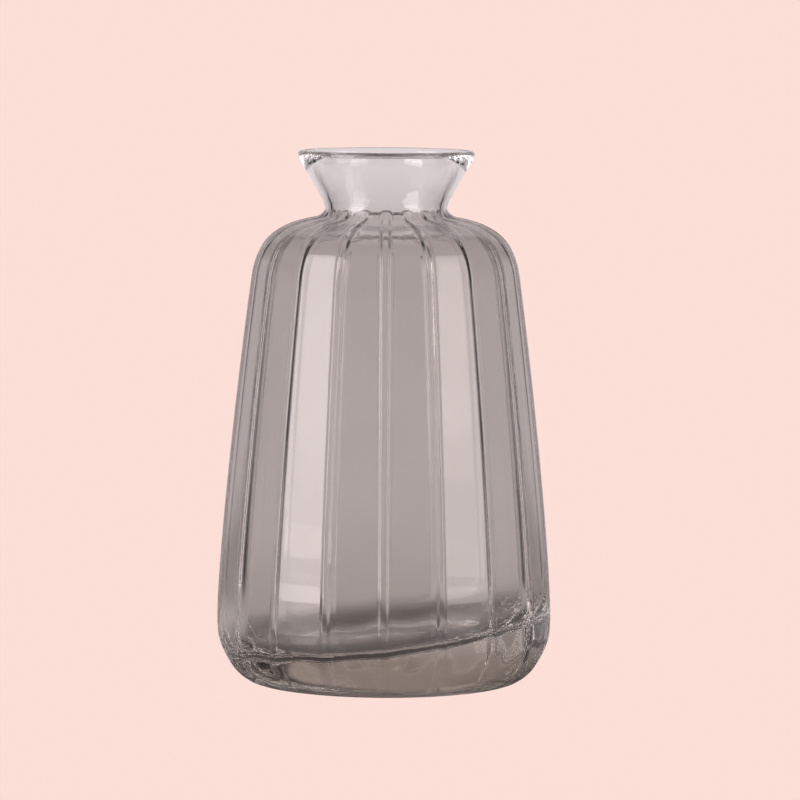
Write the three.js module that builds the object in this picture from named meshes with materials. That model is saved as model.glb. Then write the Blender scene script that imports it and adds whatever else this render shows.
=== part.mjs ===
// Ribbed glass bud vase: one blown and fire-polished piece of smoked glass. From the foot up it has
// a foot ring round a shallow kick-up, a full heel, a body that narrows gently, a round shoulder,
// a short waist and a funnel neck with a rounded lip. Narrow ribs run from the foot to the waist
// between flat panels, which the inside wall follows. The solid base slopes inside, thinner on the
// -X side.
// Millimetres, +Z up, with the origin at the centre of the foot ring, on the surface that the vase
// stands on. One rib faces -Y.

import * as THREE from 'three';

// Overall height, and the heights of the zones that share it with the body
const VASE_HEIGHT = 146;
const NECK_HEIGHT = 15.6;
const CROWN_HEIGHT = 18.4;
const HEEL_HEIGHT = 17;

// Radius of the widest level, how far the foot and the shoulder lie inside it, and the neck's radii
const BODY_RADIUS = 45.4;
const HEEL_INSET = 11.4;
const SHOULDER_INSET = 9.2;
const WAIST_RADIUS = 16.75;
const RIM_RADIUS = 24.2;

// How the outside curves run into each other
const BODY_TAPER = 0.135;
const BODY_FULLNESS_LOW = 12;
const BODY_FULLNESS_HIGH = 42;
const SHOULDER_FULLNESS = 10;
const CROWN_FULLNESS = 9;
const CROWN_SLOPE = 0.15;
const WAIST_FILLET = 3.2;
const FUNNEL_FLARE = 0.54;
const LIP_RADIUS = 1.2;

// Thickness of the glass
const WALL_LOW = 3.8;
const WALL_HIGH = 2.2;
const BASE_THICKNESS = 12;
const FLOOR_FILLET = 5.5;
const FLOOR_TILT = THREE.MathUtils.degToRad(6);
const FLOOR_BEND = 0.0012;
const TILT_REACH = 34;

// Underside
const FOOT_RING_WIDTH = 4;
const KICK_UP = 2;

// Ribs: a narrow raised bead at each corner, between flat panels that turn into lobes at both ends
const RIB_COUNT = 18;
const BEAD_WIDTH = 3.8;
const BEAD_RISE = 0.5;
const PANEL_FLATNESS = 0.95;
const LOBE_DROP = 0.45;
const HEEL_LOBE_LOW = 5.6;
const HEEL_LOBE_TOP = 14;
const CROWN_LOBE_START = 7;
const CROWN_LOBE_BLEND = 8;
const RIB_RUNOUT_FOOT = 1.5;
const RIB_RUNOUT_WAIST = 3;
const PANELS_FADE_IN = 11;

const footRadius = BODY_RADIUS - HEEL_INSET;
const shoulderRadius = BODY_RADIUS - SHOULDER_INSET;
const waistHeight = VASE_HEIGHT - NECK_HEIGHT;
const shoulderHeight = waistHeight - CROWN_HEIGHT;

const point = (radius, height) => new THREE.Vector2(radius, height);

// Points along a curve, without its first one, which the curve before it has already placed.
const along = (curve, steps) => curve.getPoints(steps).slice(1);

const heel = new THREE.EllipseCurve(
  footRadius, HEEL_HEIGHT, BODY_RADIUS - footRadius, HEEL_HEIGHT, -Math.PI / 2, 0);
const body = new THREE.CubicBezierCurve(
  point(BODY_RADIUS, HEEL_HEIGHT),
  point(BODY_RADIUS, HEEL_HEIGHT + BODY_FULLNESS_LOW),
  point(shoulderRadius + BODY_TAPER * BODY_FULLNESS_HIGH, shoulderHeight - BODY_FULLNESS_HIGH),
  point(shoulderRadius, shoulderHeight));

// The waist is an arc that turns the crown's slope into the foot of the funnel.
const crownAngle = Math.atan(CROWN_SLOPE);
const waist = new THREE.EllipseCurve(
  WAIST_RADIUS + WAIST_FILLET, waistHeight, WAIST_FILLET, WAIST_FILLET,
  -Math.PI / 2 - crownAngle, -Math.PI, true);
const crown = waist.getPoint(0);
const shoulder = new THREE.CubicBezierCurve(
  point(shoulderRadius, shoulderHeight),
  point(shoulderRadius - BODY_TAPER * SHOULDER_FULLNESS, shoulderHeight + SHOULDER_FULLNESS),
  point(crown.x + CROWN_FULLNESS, crown.y - CROWN_SLOPE * CROWN_FULLNESS),
  crown);

// The lip is a half circle that continues the funnel's slope, with its top at the rim height.
const slope = point(FUNNEL_FLARE, 1).normalize();
const lipCentre = point(RIM_RADIUS - LIP_RADIUS, VASE_HEIGHT - LIP_RADIUS);
const lipStart = point(slope.y, -slope.x).multiplyScalar(LIP_RADIUS).add(lipCentre);
const lipTurn = -Math.atan(FUNNEL_FLARE);
const lip = new THREE.EllipseCurve(
  lipCentre.x, lipCentre.y, LIP_RADIUS, LIP_RADIUS, lipTurn, lipTurn + Math.PI);
const funnelRise = lipStart.y - waistHeight;
const funnel = new THREE.CubicBezierCurve(
  point(WAIST_RADIUS, waistHeight),
  point(WAIST_RADIUS, waistHeight + funnelRise * 0.15),
  point(lipStart.x - FUNNEL_FLARE * funnelRise * 0.4, lipStart.y - funnelRise * 0.4),
  lipStart);

// The outside wall from the widest level to the lip, and the inside wall a glass thickness away.
const wall = [point(BODY_RADIUS, HEEL_HEIGHT), ...along(body, 6), ...along(shoulder, 7),
  ...along(waist, 3), ...along(funnel, 4)];
const inFromWall = wall.map((here, i) => {
  const before = wall[Math.max(i - 1, 0)];
  const after = wall[Math.min(i + 1, wall.length - 1)];
  const run = after.clone().sub(before).normalize();
  const up = (here.y - HEEL_HEIGHT) / (shoulderHeight - HEEL_HEIGHT);
  const glass = THREE.MathUtils.lerp(WALL_LOW, WALL_HIGH, Math.min(up, 1));
  return point(here.x - run.y * glass, here.y + run.x * glass);
});

// The inside wall goes down to where the floor's fillet starts, and the fillet ends on the floor.
const filletTop = BASE_THICKNESS + FLOOR_FILLET;
const inside = inFromWall.slice(0, -1).filter((here) => here.y > filletTop).reverse();
const fillet = new THREE.EllipseCurve(
  inFromWall[0].x - FLOOR_FILLET, filletTop, FLOOR_FILLET, FLOOR_FILLET, 0, -Math.PI / 2, true);

const ringInner = footRadius - FOOT_RING_WIDTH;
const kickUp = new THREE.QuadraticBezierCurve(
  point(0, KICK_UP), point(ringInner * 0.6, KICK_UP), point(ringInner, 0));
const underside = [point(0, KICK_UP), ...along(kickUp, 3), point(footRadius, 0)];
const outline = [...underside, ...along(heel, 6), ...wall.slice(1)];
const lastOutside = outline.length - 1;
outline.push(...along(lip, 4), ...inside, ...fillet.getPoints(5), point(0, BASE_THICKNESS));

// Steps of one rib's pitch, counted from the bead: its crest, its edge, the panel's crown, its edge.
const pitch = 2 * Math.PI / RIB_COUNT;
const beadHalf = BEAD_WIDTH / (BODY_RADIUS + shoulderRadius);
const beadToCrown = pitch / 2 - beadHalf;
const ribSteps = [
  { turn: 0, fromCrown: beadToCrown, rise: BEAD_RISE },
  { turn: beadHalf, fromCrown: beadToCrown, rise: 0 },
  { turn: pitch / 2, fromCrown: 0, rise: 0 },
  { turn: pitch - beadHalf, fromCrown: beadToCrown, rise: 0 },
];

// How far a step of a rib lies inside the circle through the panels' crowns. A flat panel's edges
// lie outside that circle and a lobe's edges inside it. All of it runs out at the foot and the waist.
function panelDrop(step, here) {
  const heelLobe = 1 - THREE.MathUtils.smoothstep(here.y, HEEL_LOBE_LOW, HEEL_LOBE_TOP);
  const lobeStart = shoulderHeight + CROWN_LOBE_START;
  const crownLobe = THREE.MathUtils.smoothstep(here.y, lobeStart, lobeStart + CROWN_LOBE_BLEND);
  const flat = here.x * (1 - 1 / Math.cos(step.fromCrown)) * PANEL_FLATNESS;
  const lobe = LOBE_DROP * (step.fromCrown / (pitch / 2)) ** 2;
  return THREE.MathUtils.lerp(flat, lobe, heelLobe + crownLobe);
}

function outsideDrop(step, here) {
  const fromFoot = THREE.MathUtils.smoothstep(here.y, 0, RIB_RUNOUT_FOOT);
  const toWaist = THREE.MathUtils.smoothstep(here.y, waistHeight - RIB_RUNOUT_WAIST, waistHeight);
  return (panelDrop(step, here) - step.rise) * fromFoot * (1 - toWaist);
}

// The inside wall has the panels but not the beads, from above the floor's fillet up to the waist.
function insideDrop(step, here) {
  const fromFloor = THREE.MathUtils.smoothstep(
    here.y, BASE_THICKNESS, BASE_THICKNESS + PANELS_FADE_IN);
  const toWaist = THREE.MathUtils.smoothstep(here.y, waistHeight - RIB_RUNOUT_WAIST, waistHeight);
  return panelDrop(step, here) * fromFloor * (1 - toWaist);
}

// The inside floor leans about the Y axis and curls up on both sides of it, so that it climbs mostly
// on the +X side. All of that dies away up the wall.
function floorLean(across, height) {
  const fade = 1 - THREE.MathUtils.smoothstep(height, BASE_THICKNESS, BASE_THICKNESS + TILT_REACH);
  return (across * Math.tan(FLOOR_TILT) + across ** 2 * FLOOR_BEND) * fade;
}

// The outline is turned about the axis, then each line of points is put on its own step of a rib.
function makeVase() {
  const turns = RIB_COUNT * ribSteps.length;
  const geometry = new THREE.LatheGeometry(outline, turns);
  const position = geometry.attributes.position;
  for (let i = 0; i <= turns; i += 1) {
    const step = ribSteps[i % ribSteps.length];
    const angle = pitch * (Math.floor(i / ribSteps.length) % RIB_COUNT) + step.turn;
    for (let j = 0; j < outline.length; j += 1) {
      const here = outline[j];
      const isPlain = j < underside.length || j === outline.length - 1;
      const isInside = j > lastOutside;
      const run = isPlain ? point(0, 0) : outline[j + 1].clone().sub(outline[j - 1]).normalize();
      const drop = isInside ? -insideDrop(step, here) : outsideDrop(step, here);
      const radius = here.x - run.y * drop;
      const across = radius * Math.sin(angle);
      const lean = isInside ? floorLean(across, here.y) : 0;
      position.setXYZ(i * outline.length + j, across, -radius * Math.cos(angle),
        here.y + run.x * drop + lean);
    }
  }
  geometry.computeVertexNormals();
  const material = new THREE.MeshStandardMaterial({
    color: 0x8f8480, roughness: 0.05, metalness: 0, transparent: true, opacity: 0.45 });
  const mesh = new THREE.Mesh(geometry, material);
  mesh.name = 'glass_vase';
  return mesh;
}

const vase = new THREE.Group();
vase.add(makeVase());

export default vase;
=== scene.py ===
import math

import bpy
import numpy as np
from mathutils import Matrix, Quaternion, Vector


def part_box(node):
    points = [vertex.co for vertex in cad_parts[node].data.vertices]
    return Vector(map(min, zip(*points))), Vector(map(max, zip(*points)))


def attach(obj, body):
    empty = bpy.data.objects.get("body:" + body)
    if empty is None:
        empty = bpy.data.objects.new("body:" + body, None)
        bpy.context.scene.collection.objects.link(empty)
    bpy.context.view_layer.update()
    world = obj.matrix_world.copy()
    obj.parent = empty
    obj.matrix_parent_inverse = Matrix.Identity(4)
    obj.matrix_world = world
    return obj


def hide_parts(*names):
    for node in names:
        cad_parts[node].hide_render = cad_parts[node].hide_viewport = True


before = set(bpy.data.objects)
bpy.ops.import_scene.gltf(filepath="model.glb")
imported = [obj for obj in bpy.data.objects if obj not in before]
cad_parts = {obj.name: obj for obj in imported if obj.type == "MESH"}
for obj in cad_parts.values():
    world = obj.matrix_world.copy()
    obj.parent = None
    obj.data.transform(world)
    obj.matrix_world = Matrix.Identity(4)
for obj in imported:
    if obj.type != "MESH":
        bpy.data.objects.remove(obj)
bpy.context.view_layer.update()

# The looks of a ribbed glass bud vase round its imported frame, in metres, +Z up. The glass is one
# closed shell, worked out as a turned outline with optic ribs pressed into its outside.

MM = 0.001

# Heights above the table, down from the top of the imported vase
HEEL_HEIGHT = 17 * MM
RIM_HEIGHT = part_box("glass_vase")[1][2]
WAIST_HEIGHT = RIM_HEIGHT - 15.6 * MM
SHOULDER_HEIGHT = WAIST_HEIGHT - 18.4 * MM

# Radii of the outside
BODY_RADIUS = 45.4 * MM
FOOT_RADIUS = BODY_RADIUS - 11.4 * MM
SHOULDER_RADIUS = BODY_RADIUS - 9.2 * MM
WAIST_RADIUS = 16.75 * MM
RIM_RADIUS = 24.2 * MM

# How the outside curves run into each other
BODY_TAPER = 0.135
BODY_FULLNESS_LOW = 12 * MM
BODY_FULLNESS_HIGH = 42 * MM
SHOULDER_FULLNESS = 10 * MM
CROWN_FULLNESS = 9 * MM
CROWN_SLOPE = 0.15
WAIST_FILLET = 3.2 * MM
FUNNEL_FLARE = 0.54
FUNNEL_START = 0.15
FUNNEL_END = 0.4
LIP_RADIUS = 1.2 * MM

# Thickness of the glass, and how the floor inside leans along X and curls up away from its middle
WALL_LOW = 3.8 * MM
WALL_HIGH = 2.2 * MM
BASE_THICKNESS = 12 * MM
FLOOR_FILLET = 5.5 * MM
FLOOR_TILT = math.radians(6.0)
FLOOR_BEND = 0.0012 / MM
TILT_REACH = 34 * MM

# Underside
FOOT_RING_WIDTH = 4 * MM
KICK_UP = 2 * MM
KICK_UP_LEVEL = 0.4
KICK_UP_BEND = (0.8, 0.45)

# Ribs: a bead with a level crest and steep flanks, lower and wider at the heel, between flat panels
# that turn into convex lobes at both ends
RIB_COUNT = 18
BEAD_CREST = 0.65 * MM
BEAD_HALF_WIDTH = 1.9 * MM
BEAD_RISE = 0.55 * MM
HEEL_BEAD_HALF_WIDTH = 2.6 * MM
HEEL_BEAD_RISE = 0.2 * MM
PANEL_FLATNESS = 0.95
HEEL_BEAD_ZONE = (6 * MM, 26 * MM)
LOBE_DROP = 0.45 * MM
HEEL_LOBE_ZONE = (5.6 * MM, 14 * MM)
CROWN_LOBE_ZONE = (119 * MM, 127 * MM)
RIB_RUNOUT_FOOT = 1.5 * MM
RIB_RUNOUT_WAIST = 3 * MM
LEAST_RIB_RADIUS = 10 * MM

# Points along each curve of the outline
KICK_UP_POINTS = 7
HEEL_POINTS = 21
BODY_POINTS = 28
SHOULDER_POINTS = 20
WAIST_POINTS = 8
FUNNEL_POINTS = 9
LIP_POINTS = 10
FILLET_POINTS = 11
FLOOR_POINTS = 7

# Points across half a rib: where they are spaced from and to, round the widest level, and how many
FLANK_ZONE = (0.8 * MM, 2.6 * MM)
HALF_RIB_STEPS = (
    (0, FLANK_ZONE[0], 2),
    (FLANK_ZONE[0], FLANK_ZONE[1], 12),
    (FLANK_ZONE[1], math.pi * BODY_RADIUS / RIB_COUNT, 5))

# How dense the smoke tint is from the foot up: full on the solid base, fading out up the neck
SMOKE_HEIGHTS = (0, 11 * MM, 15 * MM, 45 * MM, 122 * MM, 131 * MM, 136 * MM, 142 * MM)
SMOKE_STRENGTHS = (1, 1, 0.72, 0.65, 0.65, 0.3, 0.15, 0)
SMOKE_CLOUD_SCALE = 45.0
SMOKE_CLOUD_DEPTH = 0.12
SMOKE_CLOUD_DETAIL = 2.0

# Colours of the glass without and with its smoke tint, and its index of refraction
CLEAR_COLOUR = (1, 1, 1, 1)
SMOKE_COLOUR = (0.315, 0.27, 0.227, 1)
GLASS_IOR = 1.5

# Colours of the room, and of the softboxes' light
BACKDROP_COLOUR = (0.973, 0.738, 0.679, 1)
ROOM_COLOUR = (1.0, 0.905, 0.92, 1)
LIGHT_COLOUR = (1.0, 0.91, 0.92)

# The room in plan, by the angle from +Y: a lit screen that dims at an edge, dark flags, side screens
SCREEN_GLOW = 0.78
SCREEN_DIMMING = (math.radians(27), math.radians(31), 0.23)
FLAG_EDGE = (math.radians(40), math.radians(43), 0.54)
SIDE_SCREEN = (math.radians(68), math.radians(76), 0.38)

# Higher up the room is dimmer, but for a panel above the middle of the screen
HIGH_ZONE = (math.sin(math.radians(8)), math.sin(math.radians(14)))
HIGH_DIMMING = 0.75
TOP_PANEL = (math.radians(22), math.radians(28), 0.33)

# The table near the vase, the shadow painted on it that the vase stands in, and the pools of light painted
# on it
FLOOR_REACH = 6.0
NEAR_TABLE = (0.15, 0.35)
SHADOW_RADIUS = 0.045
SHADOW_FADE = 0.05
SHADOW_DEPTH = 0.85
POOL_START = (0.165, 0.18)
POOL_SIDE = (math.radians(104), math.radians(136))
POOL_EDGE = math.radians(1)
LEFT_POOL_GLOW = 2.1
RIGHT_POOL_GLOW = 0.95

# Softboxes: the angle to each side of -Y and above the table in degrees, size, distance and glow
SOFTBOX_SIDE = 60
SOFTBOX_ELEVATION = 20
SOFTBOX_WIDTH = 0.58
SOFTBOX_HEIGHT = 1.0
SOFTBOX_DISTANCE = 1.0
SOFTBOX_AIM_HEIGHT = 0.07
LEFT_SOFTBOX_GLOW = 4.2
RIGHT_SOFTBOX_GLOW = 2.35

# Camera
CAMERA_PLACE = (0.0041, -1.4, 0.195)
CAMERA_AIM = (0.0041, 0, 0.0775)
CAMERA_ROLL = math.radians(0.33)
CAMERA_LENS = 230.5
CAMERA_SENSOR = 36
CAMERA_REACH = 50

# How often light may be bent on its way through the glass
LIGHT_BOUNCES = 48


def smoothstep(low, high, value):
    """The cubic ramp 3t^2 - 2t^3, where t goes from 0 at low to 1 at high."""
    t = np.clip((value - low) / (high - low), 0, 1)
    return t * t * (3 - 2 * t)


def bezier(points, steps):
    """A cubic curve: the four points weighted by the Bernstein polynomials of t, for steps values of t."""
    t = np.linspace(0, 1, steps)[:, None]
    weights = ((1 - t) ** 3, 3 * t * (1 - t) ** 2, 3 * t * t * (1 - t), t ** 3)
    return sum(weight * np.array(point) for weight, point in zip(weights, points))


def arc(centre, radii, start, end, steps):
    """Part of an ellipse: centre + (a cos t, b sin t), with t going evenly from start to end."""
    t = np.linspace(start, end, steps)
    return np.column_stack((centre[0] + radii[0] * np.cos(t), centre[1] + radii[1] * np.sin(t)))


def joined(*curves):
    """The curves end to end, each without its first point, which the curve before it ends on."""
    return np.concatenate([curves[0]] + [curve[1:] for curve in curves[1:]])


def outward(curve):
    """Unit normals of a curve that climbs with the glass on its left: the tangent turned to the right."""
    tangent = np.gradient(curve, axis=0)
    tangent /= np.linalg.norm(tangent, axis=1)[:, None]
    return np.column_stack((tangent[:, 1], -tangent[:, 0]))


def outside_wall():
    """The outside from the widest level to the lip: body, shoulder, waist arc and funnel, in r and z."""
    body = bezier([
        (BODY_RADIUS, HEEL_HEIGHT),
        (BODY_RADIUS, HEEL_HEIGHT + BODY_FULLNESS_LOW),
        (SHOULDER_RADIUS + BODY_TAPER * BODY_FULLNESS_HIGH, SHOULDER_HEIGHT - BODY_FULLNESS_HIGH),
        (SHOULDER_RADIUS, SHOULDER_HEIGHT)], BODY_POINTS)
    crown_angle = math.atan(CROWN_SLOPE)
    waist = arc(
        (WAIST_RADIUS + WAIST_FILLET, WAIST_HEIGHT), (WAIST_FILLET, WAIST_FILLET),
        -math.pi / 2 - crown_angle, -math.pi, WAIST_POINTS)
    crown = waist[0]
    shoulder = bezier([
        (SHOULDER_RADIUS, SHOULDER_HEIGHT),
        (SHOULDER_RADIUS - BODY_TAPER * SHOULDER_FULLNESS, SHOULDER_HEIGHT + SHOULDER_FULLNESS),
        (crown[0] + CROWN_FULLNESS, crown[1] - CROWN_SLOPE * CROWN_FULLNESS),
        tuple(crown)], SHOULDER_POINTS)
    lip_start = lip_curve()[0]
    rise = lip_start[1] - WAIST_HEIGHT
    funnel = bezier([
        (WAIST_RADIUS, WAIST_HEIGHT),
        (WAIST_RADIUS, WAIST_HEIGHT + FUNNEL_START * rise),
        (lip_start[0] - FUNNEL_END * FUNNEL_FLARE * rise, lip_start[1] - FUNNEL_END * rise),
        tuple(lip_start)], FUNNEL_POINTS)
    return joined(body, shoulder, waist, funnel)


def lip_curve():
    """A half circle over the rim that carries on the funnel's slope, with its top at the rim height."""
    turn = -math.atan(FUNNEL_FLARE)
    centre = (RIM_RADIUS - LIP_RADIUS, RIM_HEIGHT - LIP_RADIUS)
    return arc(centre, (LIP_RADIUS, LIP_RADIUS), turn, turn + math.pi, LIP_POINTS)


def outline():
    """The whole section from the middle of the underside round to the middle of the floor inside.

    Gives r and z of each point, and whether it is on the inside."""
    ring_inner = FOOT_RADIUS - FOOT_RING_WIDTH
    kick_up = bezier([
        (0, KICK_UP), (KICK_UP_LEVEL * ring_inner, KICK_UP),
        (KICK_UP_BEND[0] * ring_inner, KICK_UP_BEND[1] * KICK_UP), (ring_inner, 0)], KICK_UP_POINTS)
    ring = np.array([(ring_inner, 0), (ring_inner + 0.5 * FOOT_RING_WIDTH, 0), (FOOT_RADIUS, 0)])
    heel = arc(
        (FOOT_RADIUS, HEEL_HEIGHT), (BODY_RADIUS - FOOT_RADIUS, HEEL_HEIGHT),
        -math.pi / 2, 0, HEEL_POINTS)
    wall = outside_wall()
    lip = lip_curve()
    climb = (wall[:, 1] - HEEL_HEIGHT) / (SHOULDER_HEIGHT - HEEL_HEIGHT)
    glass = WALL_LOW + (WALL_HIGH - WALL_LOW) * np.clip(climb, 0, 1)
    inside_wall = wall - outward(wall) * glass[:, None]
    fillet_top = BASE_THICKNESS + FLOOR_FILLET
    inside_wall = inside_wall[::2][inside_wall[::2, 1] > fillet_top + MM]
    fillet = arc(
        (BODY_RADIUS - WALL_LOW - FLOOR_FILLET, fillet_top), (FLOOR_FILLET, FLOOR_FILLET),
        0, -math.pi / 2, FILLET_POINTS)
    floor_steps = np.linspace(1, 0, FLOOR_POINTS)[1:]
    floor = np.column_stack((fillet[-1, 0] * floor_steps, np.full_like(floor_steps, BASE_THICKNESS)))
    outside = joined(kick_up, ring, heel, wall, lip)
    section = np.concatenate([outside, inside_wall[::-1][1:], fillet, floor])
    is_inside = np.arange(len(section)) >= len(outside) - len(lip) // 2
    return section, is_inside


def rib_drop(angle, radius, height, outside):
    """How far the glass lies below the circle through the panels' crowns.

    With p half a pitch, v the angle from the panel's crown and r the radius, it is a flat panel,
    -r(1/cos v - 1), or near the foot and the shoulder a lobe, (v/p)^2, each held level over the bead.
    On the outside the bead's rise is taken off, times the square of a smooth step down its flank."""
    half_pitch = math.pi / RIB_COUNT
    off_bead = np.abs((angle + half_pitch) % (2 * half_pitch) - half_pitch)
    away = off_bead * radius
    from_crown = half_pitch - np.maximum(off_bead, BEAD_HALF_WIDTH / radius)
    lobed = 1 - smoothstep(*HEEL_LOBE_ZONE, height) + smoothstep(*CROWN_LOBE_ZONE, height)
    flat = -radius * (1 / np.cos(from_crown) - 1) * PANEL_FLATNESS
    lobe = LOBE_DROP * (from_crown / half_pitch) ** 2
    up_heel = smoothstep(*HEEL_BEAD_ZONE, height)
    rise = HEEL_BEAD_RISE + (BEAD_RISE - HEEL_BEAD_RISE) * up_heel
    half_width = HEEL_BEAD_HALF_WIDTH + (BEAD_HALF_WIDTH - HEEL_BEAD_HALF_WIDTH) * up_heel
    flank = 1 - smoothstep(BEAD_CREST, half_width, away)
    return flat * (1 - lobed) + lobe * lobed - rise * outside * flank ** 2


def surface_normals(grid, angle):
    """Unit normals of a grid of rings: the slope round a ring crossed with the slope along the outline."""
    wrapped = np.concatenate([grid[:, -1:], grid, grid[:, :1]], axis=1)
    turns = np.concatenate([angle[-1:] - 2 * math.pi, angle, angle[:1] + 2 * math.pi])
    round_ring = np.gradient(wrapped, turns, axis=1)[:, 1:-1]
    run = np.linalg.norm(np.diff(grid[:, 0], axis=0), axis=1)
    up_outline = np.gradient(grid, np.concatenate([[0], np.cumsum(run)]), axis=0)
    normals = np.cross(round_ring, up_outline)
    return normals / np.linalg.norm(normals, axis=2)[:, :, None]


def make_glass():
    """The glass shell as a grid of outline points by angles, closed at a pole on the axis at each end.

    The angles crowd together at the beads. Points move in along the outline's normal by the ribs'
    drop, which runs out at the foot and the waist and on the floor, and the underside stays plain.
    Inside points also rise by x tan(tilt) + bend x^2, fading with height up the wall."""
    section, is_inside = outline()
    half = np.concatenate([np.linspace(*span, endpoint=False) for span in HALF_RIB_STEPS]) / BODY_RADIUS
    pitch = 2 * math.pi / RIB_COUNT
    one_rib = np.concatenate([half, [pitch / 2], pitch - half[:0:-1]])
    angle = (np.arange(RIB_COUNT)[:, None] * pitch + one_rib[None, :]).ravel()
    rows = section[1:-1]
    radius, height = rows[:, :1], rows[:, 1:]
    normal = outward(section)[1:-1]
    fade = smoothstep(0, RIB_RUNOUT_FOOT, height) * (
        1 - smoothstep(WAIST_HEIGHT - RIB_RUNOUT_WAIST, WAIST_HEIGHT, height))
    outside = 1.0 - is_inside[1:-1, None]
    inside_fade = smoothstep(BASE_THICKNESS, BASE_THICKNESS + 2 * FLOOR_FILLET, height)
    fade = fade * np.where(is_inside[1:-1, None], -inside_fade, 1)
    fade = fade * ((radius > FOOT_RADIUS) | (height > KICK_UP))
    drop = rib_drop(angle[None, :], np.maximum(radius, LEAST_RIB_RADIUS), height, outside) * fade
    ring_radius = radius - normal[:, :1] * drop
    ring_height = height - normal[:, 1:] * drop
    across = ring_radius * np.sin(angle)
    lean_fade = 1 - smoothstep(BASE_THICKNESS, BASE_THICKNESS + TILT_REACH, height)
    lean = (across * math.tan(FLOOR_TILT) + across ** 2 * FLOOR_BEND) * lean_fade * (1 - outside)
    grid = np.stack((across, -ring_radius * np.cos(angle), ring_height + lean), axis=-1)
    normals = surface_normals(grid, angle)
    under = np.array([[0, 0, section[0, 1]]])
    over = np.array([[0, 0, section[-1, 1]]])
    points = np.concatenate([grid.reshape(-1, 3), under, over])

    rings, around = grid.shape[:2]
    index = np.arange(rings * around).reshape(rings, around)
    following = np.roll(index, -1, axis=1)
    quads = np.stack((index[:-1], following[:-1], following[1:], index[1:]), axis=-1).reshape(-1, 4)
    pole_under, pole_over = rings * around, rings * around + 1
    cap_under = np.column_stack((index[0], np.full(around, pole_under), following[0]))
    cap_over = np.column_stack((index[-1], following[-1], np.full(around, pole_over)))
    faces = quads.tolist() + cap_under.tolist() + cap_over.tolist()

    mesh = bpy.data.meshes.new("vase_glass")
    mesh.from_pydata(points.tolist(), [], faces)
    mesh.validate()
    mesh.update()
    mesh.polygons.foreach_set("use_smooth", np.ones(len(mesh.polygons), dtype=bool))
    poles = np.array([[0, 0, -1], [0, 0, 1]])
    mesh.normals_split_custom_set_from_vertices(np.concatenate([normals.reshape(-1, 3), poles]).tolist())

    smoke_row = np.interp(rows[:, 1], SMOKE_HEIGHTS, SMOKE_STRENGTHS) * (1 - is_inside[1:-1])
    smoke = np.concatenate([np.repeat(smoke_row, around), [1.0, 0.0]])
    layer = mesh.attributes.new("smoke", "FLOAT", "POINT")
    layer.data.foreach_set("value", smoke.astype(np.float32))
    piece = bpy.data.objects.new("vase_glass", mesh)
    bpy.context.scene.collection.objects.link(piece)
    return piece


def add_node(tree, kind, settings=None, sockets=None):
    """A node from its type, its settings, and the Values or plain numbers of its sockets."""
    node = tree.nodes.new("ShaderNode" + kind)
    for name, setting in (settings or {}).items():
        setattr(node, name, setting)
    for name, item in (sockets or {}).items():
        if isinstance(item, Value):
            tree.links.new(item.socket, node.inputs[name])
        else:
            node.inputs[name].default_value = item
    return node


def math_node(tree, operation, *items):
    """A Math node on the items, which are Values or plain numbers, in their order."""
    node = add_node(tree, "Math", {"operation": operation}, dict(enumerate(items)))
    return Value(tree, node.outputs[0])


class Value:
    """A shader socket that can be used in plain arithmetic; each sum adds its Math node."""

    def __init__(self, tree, socket):
        self.tree = tree
        self.socket = socket

    def maths(self, operation, *others):
        return math_node(self.tree, operation, self, *others)

    def __add__(self, other):
        return math_node(self.tree, "ADD", self, other)

    def __radd__(self, other):
        return math_node(self.tree, "ADD", other, self)

    def __sub__(self, other):
        return math_node(self.tree, "SUBTRACT", self, other)

    def __rsub__(self, other):
        return math_node(self.tree, "SUBTRACT", other, self)

    def __mul__(self, other):
        return math_node(self.tree, "MULTIPLY", self, other)

    def __rmul__(self, other):
        return math_node(self.tree, "MULTIPLY", other, self)

    def __truediv__(self, other):
        return math_node(self.tree, "DIVIDE", self, other)

    def ramp(self, low, high):
        """The smooth step from 0 at low to 1 at high."""
        node = add_node(self.tree, "MapRange", {"interpolation_type": "SMOOTHSTEP"}, {
            "Value": self, "From Min": low, "From Max": high})
        return Value(self.tree, node.outputs[0])


class Shader:
    """A node tree under construction; node() gives one output of the node that it adds."""

    def __init__(self, owner):
        owner.use_nodes = True
        self.tree = owner.node_tree
        self.tree.nodes.clear()

    def node(self, kind, settings=None, sockets=None, out=0):
        node = add_node(self.tree, kind, settings, sockets)
        return Value(self.tree, node.outputs[out]) if len(node.outputs) else node

    def split(self, coordinates):
        """The x, y and z of a set of texture coordinates."""
        parts = add_node(self.tree, "SeparateXYZ", None, {
            "Vector": self.node("TexCoord", out=coordinates)})
        return [Value(self.tree, socket) for socket in parts.outputs]


def glass_material():
    """Clear glass, tinted by the smoke attribute with faint clouds in the film."""
    material = bpy.data.materials.new("smoked_glass")
    shader = Shader(material)
    smoke = shader.node("Attribute", {"attribute_name": "smoke"}, out="Fac")
    clouds = shader.node("TexNoise", None, {
        "Vector": shader.node("TexCoord", out="Object"), "Scale": SMOKE_CLOUD_SCALE,
        "Detail": SMOKE_CLOUD_DETAIL})
    colour = shader.node("Mix", {"data_type": "RGBA"}, {
        0: smoke * (1 - SMOKE_CLOUD_DEPTH / 2 + clouds * SMOKE_CLOUD_DEPTH),
        6: CLEAR_COLOUR, 7: SMOKE_COLOUR}, out=2)
    surface = shader.node("BsdfPrincipled", None, {
        "Base Color": colour, "Roughness": 0.0, "IOR": GLASS_IOR, "Transmission Weight": 1.0})
    shader.node("OutputMaterial", None, {"Surface": surface})
    return material


def plan_turn(x, y):
    """The angle in plan from +Y, positive towards +X."""
    return x.maths("ARCTAN2", y)


def plan_distance(x, y):
    """How far a point on the table is from the vase's axis."""
    return (x * x + y * y).maths("SQRT")


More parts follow.
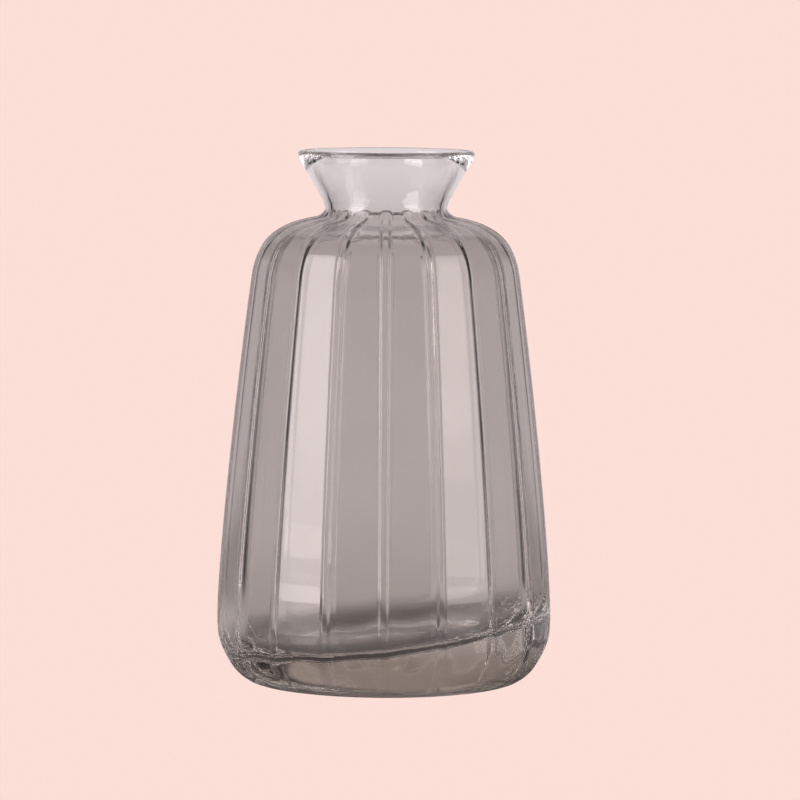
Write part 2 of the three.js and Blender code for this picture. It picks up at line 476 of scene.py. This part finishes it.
def screen_glow(x, y):
    """How bright the room is in plan: a lit screen behind, dark flags beside it, then side screens."""
    turn = plan_turn(x, y).maths("ABSOLUTE")
    edge = turn.ramp(*SCREEN_DIMMING[:2]) * SCREEN_DIMMING[2] + turn.ramp(*FLAG_EDGE[:2]) * FLAG_EDGE[2]
    return SCREEN_GLOW - edge + turn.ramp(*SIDE_SCREEN[:2]) * SIDE_SCREEN[2]


def painted_pool_glow(x, y):
    """Pools of light painted on the table below each softbox, which carry its mirror image in the glass
    further down as a painted reflection.
    """
    turn = plan_turn(x, y)
    near, far = POOL_SIDE
    left = (turn.ramp(-far, POOL_EDGE - far) - turn.ramp(-near - POOL_EDGE, -near)) * LEFT_POOL_GLOW
    right = (turn.ramp(near, near + POOL_EDGE) - turn.ramp(far - POOL_EDGE, far)) * RIGHT_POOL_GLOW
    return (left + right) * plan_distance(x, y).ramp(*POOL_START)


def studio_room():
    """The room as the glass sees it, and the plain pale backdrop as the camera sees it."""
    world = bpy.data.worlds.new("studio_room")
    bpy.context.scene.world = world
    shader = Shader(world)
    x, y, z = shader.split("Generated")
    high = z.ramp(*HIGH_ZONE)
    middle = 1 - plan_turn(x, y).maths("ABSOLUTE").ramp(*TOP_PANEL[:2])
    brightness = screen_glow(x, y) * (1 - high * HIGH_DIMMING) + middle * high * TOP_PANEL[2]
    backdrop = shader.node("Background", None, {"Color": BACKDROP_COLOUR})
    room = shader.node("Background", None, {"Color": ROOM_COLOUR, "Strength": brightness})
    mix = shader.node("MixShader", None, {"Fac": shader.node("LightPath"), 1: room, 2: backdrop})
    shader.node("OutputWorld", None, {"Surface": mix})


def softbox(name, azimuth, glow):
    """A soft light panel that faces the vase. Its azimuth is in degrees from -Y towards +X."""
    light = bpy.data.lights.new(name, "AREA")
    light.shape = "RECTANGLE"
    light.size = SOFTBOX_WIDTH
    light.size_y = SOFTBOX_HEIGHT
    light.color = LIGHT_COLOUR
    light.energy = glow * math.pi * SOFTBOX_WIDTH * SOFTBOX_HEIGHT
    lamp = bpy.data.objects.new(name, light)
    a, e = math.radians(azimuth), math.radians(SOFTBOX_ELEVATION)
    towards = Vector((math.sin(a) * math.cos(e), -math.cos(a) * math.cos(e), math.sin(e)))
    lamp.location = towards * SOFTBOX_DISTANCE + Vector((0, 0, SOFTBOX_AIM_HEIGHT))
    lamp.rotation_mode = "QUATERNION"
    lamp.rotation_quaternion = towards.to_track_quat("Z", "Y")
    lamp.visible_camera = False
    bpy.context.scene.collection.objects.link(lamp)


def make_floor():
    """A plain pale table. Seen through the glass, its glow has a painted soft shadow round the vase and
    painted pools of light.
    """
    mesh = bpy.data.meshes.new("floor")
    far = FLOOR_REACH
    corners = [(-far, -far, 0), (far, -far, 0), (far, far, 0), (-far, far, 0)]
    mesh.from_pydata(corners, [], [(0, 1, 2, 3)])
    floor = bpy.data.objects.new("floor", mesh)
    bpy.context.scene.collection.objects.link(floor)
    material = bpy.data.materials.new("pale_floor")
    shader = Shader(material)
    x, y, z = shader.split("Object")
    away = plan_distance(x, y)
    # Painted shadow: the table's glow is darkened round the foot, and the darkening fades out with
    # distance
    shadow = ((SHADOW_RADIUS - away.maths("MAXIMUM", SHADOW_RADIUS)) / SHADOW_FADE).maths("EXPONENT")
    near = 1 - away.ramp(*NEAR_TABLE)
    table = near * SCREEN_GLOW + screen_glow(x, y) * (1 - near)
    # The painted shadow darkens the glow, and the painted pools of light are added to it
    brightness = table * (1 - shadow * SHADOW_DEPTH) + painted_pool_glow(x, y)
    plain = shader.node("Emission", None, {"Color": BACKDROP_COLOUR})
    glow = shader.node("VectorMath", {"operation": "SCALE"}, {0: ROOM_COLOUR[:3], "Scale": brightness})
    shaded = shader.node("Emission", None, {"Color": glow})
    mix = shader.node("MixShader", None, {"Fac": shader.node("LightPath"), 1: shaded, 2: plain})
    shader.node("OutputMaterial", None, {"Surface": mix})
    mesh.materials.append(material)
    floor.visible_diffuse = False
    floor.visible_shadow = False
    return floor


def make_camera():
    camera = bpy.data.objects.new("camera", bpy.data.cameras.new("camera"))
    camera.data.sensor_width = CAMERA_SENSOR
    camera.data.lens = CAMERA_LENS
    camera.data.clip_end = CAMERA_REACH
    camera.location = CAMERA_PLACE
    roll = Quaternion((0, 0, 1), CAMERA_ROLL)
    camera.rotation_mode = "QUATERNION"
    camera.rotation_quaternion = (Vector(CAMERA_AIM) - camera.location).to_track_quat("-Z", "Y") @ roll
    bpy.context.scene.collection.objects.link(camera)
    bpy.context.scene.camera = camera


glass = make_glass()
glass.data.materials.append(glass_material())
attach(glass, "root")
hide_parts("glass_vase")

make_floor()
make_camera()
studio_room()
softbox("left_softbox", -SOFTBOX_SIDE, LEFT_SOFTBOX_GLOW)
softbox("right_softbox", SOFTBOX_SIDE, RIGHT_SOFTBOX_GLOW)

scene = bpy.context.scene
scene.view_settings.view_transform = "Standard"
scene.cycles.max_bounces = LIGHT_BOUNCES
scene.cycles.transmission_bounces = LIGHT_BOUNCES
scene.cycles.glossy_bounces = LIGHT_BOUNCES
